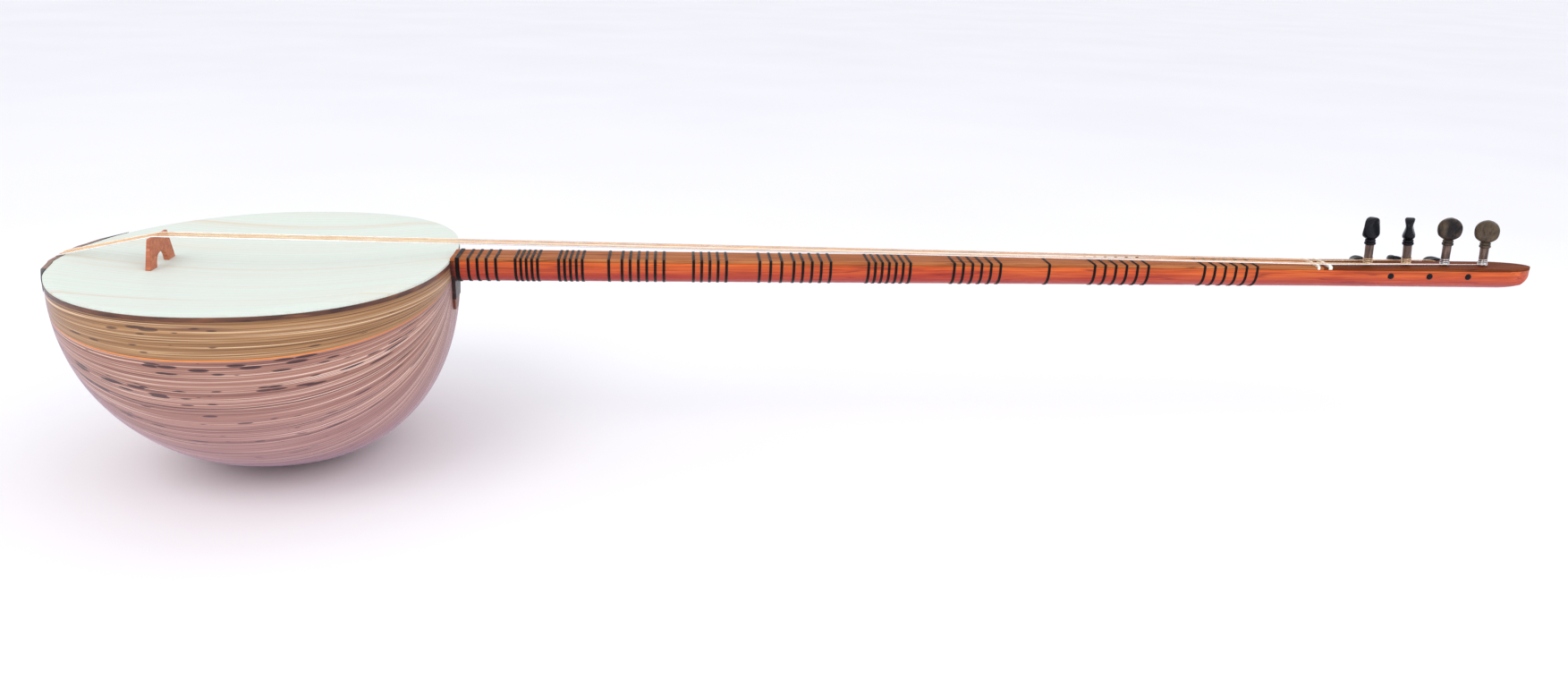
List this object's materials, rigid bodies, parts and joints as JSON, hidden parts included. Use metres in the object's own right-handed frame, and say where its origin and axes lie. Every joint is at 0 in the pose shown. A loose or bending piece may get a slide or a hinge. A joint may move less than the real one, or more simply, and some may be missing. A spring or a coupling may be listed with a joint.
{
  "type": "long-necked tanbur lute",
  "caption": "Long-necked lute with a round ribbed bowl, a dished soundboard, tied gut frets, a sliding bridge and turning tuning pegs.",
  "frame": {"origin": "lowest point of the bowl's outside, where it rests on the player's lap", "axes": "+X along the neck to the head, +Z normal to the soundboard, out of the playing face, +Y away from the side with the peg tips"},
  "size_m": [1.2941, 0.3478, 0.2182],
  "materials": {
    "bone": "satin",
    "bridge_wood": "satin",
    "ebony": "gloss",
    "edge_wood": "satin",
    "fingerboard_wood": "satin",
    "fret_gut": "satin",
    "glue_line": "satin",
    "heel_tip_wood": "satin",
    "heel_wood": "gloss",
    "inner_wood": "matt",
    "neck_wood": "gloss",
    "pale_stringing": "satin",
    "pin_brass": "polished",
    "rib_wood": "satin",
    "spruce": "matt",
    "string_bronze": "polished",
    "string_steel": "polished",
    "tail_wood": "satin"
  },
  "bodies": {
    "body": {"dark_seams": "glue_line", "fingerboard": "fingerboard_wood", "fret_ties_1": "fret_gut", "fret_ties_2": "fret_gut", "fret_ties_3": "fret_gut", "fret_ties_4": "fret_gut", "fret_ties_5": "fret_gut", "head_plate": "fingerboard_wood", "heel_cap": "heel_wood", "heel_tip": "heel_tip_wood", "light_seam_far": "pale_stringing", "light_seam_near": "pale_stringing", "neck": "neck_wood", "neck_block": "inner_wood", "nut_first": "bone", "nut_second": "bone", "rib_01": "rib_wood", "rib_02": "rib_wood", "rib_03": "rib_wood", "rib_04": "rib_wood", "rib_05": "rib_wood", "rib_06": "rib_wood", "rib_07": "rib_wood", "rib_08": "rib_wood", "rib_09": "rib_wood", "rib_10": "rib_wood", "rib_11": "rib_wood", "rib_12": "rib_wood", "rib_13": "rib_wood", "rim_band": "edge_wood", "rim_lining": "inner_wood", "root_band": "fret_gut", "soundboard_far": "spruce", "soundboard_near": "spruce", "string_1": "string_steel", "string_2": "string_steel", "string_3": "string_bronze", "string_4": "string_bronze", "string_5": "string_bronze", "string_6": "string_bronze", "string_7": "string_steel", "string_pins": "pin_brass", "tail_block": "inner_wood", "tail_ends": "ebony", "tail_strip": "tail_wood"},
    "tuner_1": {"peg_1": "ebony", "winding_1": "string_steel"},
    "tuner_2": {"peg_2": "ebony", "winding_2": "string_steel"},
    "tuner_3": {"peg_3": "ebony", "winding_3": "string_bronze"},
    "tuner_4": {"peg_4": "ebony", "winding_4": "string_bronze"},
    "tuner_5": {"peg_5": "ebony", "winding_5": "string_bronze"},
    "tuner_6": {"peg_6": "ebony", "winding_6": "string_bronze"},
    "tuner_7": {"peg_7": "ebony", "winding_7": "string_steel"},
    "bridge_body": {"bridge": "bridge_wood"}
  },
  "joints": [
    {"name": "tuning_1", "type": "hinge", "parent": "body", "child": "tuner_1", "pos_m": [1.07969, 0, 0.17413], "axis": [-0.0658, 0, 0.9978], "continuous": true},
    {"name": "tuning_2", "type": "hinge", "parent": "body", "child": "tuner_2", "pos_m": [1.04269, 0, 0.17428], "axis": [-0.0379, 0, 0.9993], "continuous": true},
    {"name": "tuning_3", "type": "hinge", "parent": "body", "child": "tuner_3", "pos_m": [1.00569, 0, 0.17442], "axis": [-0.0988, 0, 0.9951], "continuous": true},
    {"name": "tuning_4", "type": "hinge", "parent": "body", "child": "tuner_4", "pos_m": [0.96869, 0, 0.17457], "axis": [-0.0623, 0, 0.9981], "continuous": true},
    {"name": "tuning_5", "type": "hinge", "parent": "body", "child": "tuner_5", "pos_m": [1.06126, 0.0146, 0.1658], "axis": [0.113, 0.993, -0.0353], "continuous": true},
    {"name": "tuning_6", "type": "hinge", "parent": "body", "child": "tuner_6", "pos_m": [1.02426, 0.0146, 0.16595], "axis": [0.113, 0.993, -0.0353], "continuous": true},
    {"name": "tuning_7", "type": "hinge", "parent": "body", "child": "tuner_7", "pos_m": [0.98726, 0.0146, 0.1661], "axis": [0.113, 0.993, -0.0353], "continuous": true},
    {"name": "bridge_slide", "type": "slide", "parent": "body", "child": "bridge_body", "axis": [0.9964, 0, -0.0849], "range_m": [-0.004, 0.004], "deforming": ["string_1", "string_2", "string_3", "string_4", "string_5", "string_6", "string_7"]}
  ]
}
